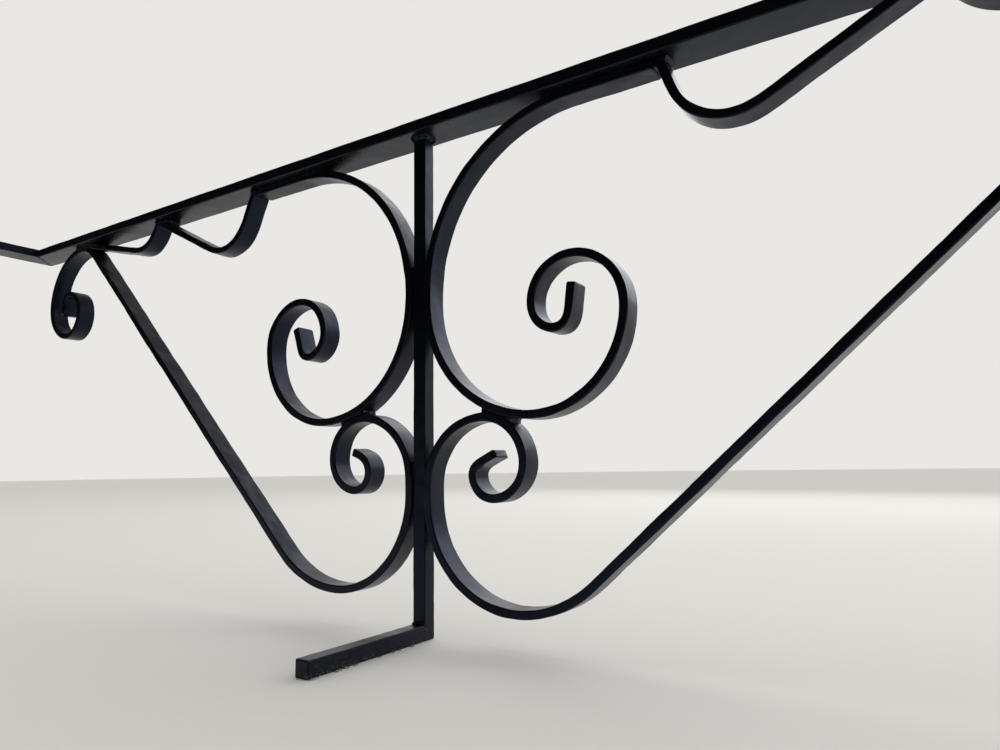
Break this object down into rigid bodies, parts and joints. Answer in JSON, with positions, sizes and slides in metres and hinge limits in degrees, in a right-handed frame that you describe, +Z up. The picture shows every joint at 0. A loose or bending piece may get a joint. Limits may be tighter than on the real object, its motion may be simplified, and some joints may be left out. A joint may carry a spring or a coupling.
{
  "type": "juliet balcony",
  "caption": "Low wrought-iron window guard: a flat rail with returns to the wall, a middle post on a foot, and matching scrolls and waves forged from flat bar.",
  "frame": {"origin": "on the window sill under the middle of the post, on the lower face of the foot", "axes": "+X along the rail to the right seen from the street, +Y from the wall out to the street, +Z up"},
  "size_m": [1.319, 0.166, 0.414],
  "materials": {
    "painted_iron": "satin black-grey paint on forged iron"
  },
  "bodies": {
    "root": {"top_rail": "painted_iron", "return_left": "painted_iron", "return_right": "painted_iron", "post": "painted_iron", "foot": "painted_iron", "upper_scroll_left": "painted_iron", "upper_scroll_right": "painted_iron", "lower_scroll_left": "painted_iron", "lower_scroll_right": "painted_iron", "inner_wave_left": "painted_iron", "inner_wave_right": "painted_iron", "outer_wave_left": "painted_iron", "outer_wave_right": "painted_iron"}
  },
  "joints": []
}
